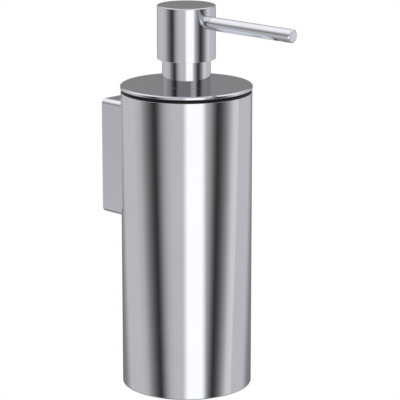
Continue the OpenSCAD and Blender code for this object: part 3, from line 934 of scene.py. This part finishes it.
def ball(node, name):
    low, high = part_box(node)
    r = widest(node)
    middle = (low.z + high.z) / 2
    outline = [(max(0.0, r * math.sin(math.pi * k / 32)), middle - r * math.cos(math.pi * k / 32))
               for k in range(33)]
    outline[0] = (0, outline[0][1])
    outline[-1] = (0, outline[-1][1])
    place(turned(name, outline, "ball_steel", segments=64, closed=False), node, node, "ball_steel")


def dip_tube():
    low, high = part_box("dip_tube")
    inner, outer = radii("dip_tube", heights("dip_tube")[-1])
    soft = 0.15 * MM
    outline = [(inner, low.z), (outer, low.z), (outer, high.z, soft), (inner, high.z, soft)]
    tube = turned("dip_tube_tube", outline, "clear_plastic", segments=96)
    wedge = [(-outer, low.z - MM), (2 * outer + MM, low.z - MM), (2 * outer + MM, low.z + 2 * outer + MM)]
    cutter = prism("wedge", wedge, -2 * outer, 2 * outer, "clear_plastic", "y")
    cutter.data.transform(Matrix.Translation((AXIS.x, AXIS.y, 0)))
    combine(tube, cutter)
    place(tube, "dip_tube", "lid", "clear_plastic")


def return_spring():
    low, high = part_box("return_spring")
    wire = 0.4 * MM
    coil = widest("return_spring") - wire
    turns, steps = 8, 40
    count = turns * steps
    bottom, rise = low.z + wire, high.z - low.z - 4 * wire
    path = []
    for i in range(count + 1):
        climb = min(1, max(0, (i - steps) / (count - 2 * steps)))
        ends = wire * min(1, i / steps) + wire * max(0, (i - count + steps) / steps)
        angle = TAU * i / steps
        path.append(Vector((AXIS.x + coil * math.cos(angle), AXIS.y + coil * math.sin(angle),
                            bottom + ends + rise * climb)))
    spring = sweep("return_spring_wire", path, wire, 14, "spring_steel")
    place(spring, "return_spring", "lid", "spring_steel")
    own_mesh(spring)


# ---------------------------------------------------------------- moving pieces of the pump

def stem():
    levels = heights("stem")
    bottom, top = levels[0], levels[-1]
    cup_floor = levels[1]
    bars_low, bars_high = levels[2], levels[3]
    stop_low, stop_high = levels[4], levels[5]
    hole, r = radii("stem", bottom)
    bore = radii("stem", top)[0]
    cup = radii("stem", cup_floor)[-1]
    stop_r = radii("stem", stop_low)[-1]
    soft = 0.2 * MM
    outline = [(hole, bottom, 0.1 * MM), (r, bottom, soft), (r, stop_low), (stop_r, stop_low, soft),
               (stop_r, stop_high, soft), (r, stop_high), (r, top, soft), (bore, top, 0.15 * MM),
               (bore, bars_high), (cup, bars_high), (cup, cup_floor, 0.1 * MM), (hole, cup_floor)]
    tube = turned("stem_tube", outline, "white_plastic", segments=96)
    cross_bars(tube, bars_low, bars_high - 0.05 * MM, cup + 0.4 * MM, "white_plastic")
    place(tube, "stem", "plunger", "white_plastic")


def piston():
    bottom, groove_low, groove_high, top = heights("piston")
    inner, r = radii("piston", bottom)
    groove = radii("piston", groove_low)[0]
    soft = 0.2 * MM
    outline = [(inner, bottom), (r, bottom, 0.4 * MM), (r, groove_low, 0.1 * MM),
               (groove, groove_low, 0.1 * MM),
               (groove, groove_high, 0.1 * MM), (r, groove_high, 0.1 * MM), (r, top, soft), (inner, top)]
    place(turned("piston_body", outline, "white_plastic", segments=96), "piston", "plunger", "white_plastic")


# ---------------------------------------------------------------- head and spout

def pump_head():
    low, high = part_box("pump_head")
    r = widest("pump_head")
    levels = heights("pump_head")
    hollow = radii("pump_head", levels[0])[0]
    boss_low = min(z for z in levels if radii("pump_head", z)[0] < r / 3)
    boss_r = max(x for x in radii("pump_head", boss_low) if x < hollow - 0.3 * MM)
    stem_hole = widest_of_stem() + 0.05 * MM
    stem_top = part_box("stem")[1].z
    ceiling = min(z for z in levels if z > boss_low + MM and radii("pump_head", z)[-1] > hollow - MM)
    spout_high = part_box("spout")[1]
    spout_z = spout_height()
    channel = 1.5 * MM
    soft = 0.15 * MM
    outline = [(0, spout_z), (channel, spout_z), (channel, stem_top), (stem_hole, stem_top),
               (stem_hole, boss_low, 0.2 * MM), (boss_r, boss_low, soft), (boss_r, ceiling),
               (hollow, ceiling, 0.3 * MM), (hollow, low.z, 0.1 * MM), (r, low.z, 0.06 * MM),
               (r, high.z, 0.5 * MM), (0, high.z)]
    head = turned("pump_head_chrome", outline, "chrome", segments=256, closed=False, steps=8)
    root = -spout_high.y
    seat = widest_spout() + 0.02 * MM
    front = -AXIS.y + r
    bore = [(0, -AXIS.y), (channel, -AXIS.y), (channel, root), (seat, root), (seat, front + MM),
            (0, front + MM)]
    combine(head, turned("drill", bore, "chrome", (0, 0, spout_z), "y", 96, False))
    place(head, "pump_head", "head", "chrome")


def widest_of_stem():
    """Radius of the stem above its stop ring."""
    return radii("stem", heights("stem")[-1])[-1]


def widest_spout():
    low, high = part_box("spout")
    return (high.x - low.x) / 2


def spout_height():
    """The height of the spout's axis."""
    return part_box("spout")[0].z + widest_spout()


def spout():
    low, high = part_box("spout")
    r = widest_spout()
    z = high.z - r
    tip, root = -low.y, -high.y
    bevel = 0.45 * MM
    bore_r = 1.5 * MM
    outlet = tip - 6 * MM
    soft = 0.1 * MM
    outline = [(0, tip), (r - bevel, tip, soft), (r, tip - bevel, soft), (r, root, 0.1 * MM), (0, root)]
    rod = turned("spout_chrome", outline, "chrome", (0, 0, z), "y", 160, False)
    channel = [(0, root - MM), (bore_r, root - MM), (bore_r, outlet), (0, outlet)]
    combine(rod, turned("drill", channel, "chrome", (0, 0, z), "y", 64, False))
    hole = [(0, z - 2 * r), (bore_r + 0.25 * MM + r, z - 2 * r), (bore_r, z - r + 0.3 * MM),
            (bore_r, z), (0, z)]
    combine(rod, turned("drill", hole, "chrome", (0, -outlet, 0), "z", 64, False))
    place(rod, "spout", "head", "chrome")


# ---------------------------------------------------------------- all of it

scene = bpy.context.scene
scene.view_settings.view_transform = "Standard"
make_camera()
make_tent()
make_floor()
make_world()
make_lamp("key_lamp", 20, 40, 1.6, 0.9, 9)
make_lamp("fill_lamp", -60, 25, 1.6, 1.2, 6)

wall_plate()
bracket_block()
set_screw()
body_screws()
body_sleeve()
base_disc()
container()
lid_disc()
lid_gasket()
lid_stopper()
stopper_o_ring()
collar()
collar_nut()
washer("housing_gasket", "housing_gasket_ring", "rubber", "lid", 0.15 * MM)
pump_housing()
washer("guide_bush", "guide_bush_ring", "black_plastic", "lid", 0.3 * MM)
valve_cage()
ball("inlet_ball", "inlet_ball_steel")
dip_tube()
return_spring()
stem()
piston()
washer("piston_seal", "piston_seal_ring", "rubber", "plunger", 0.3 * MM)
ball("outlet_ball", "outlet_ball_steel")
pump_head()
spout()
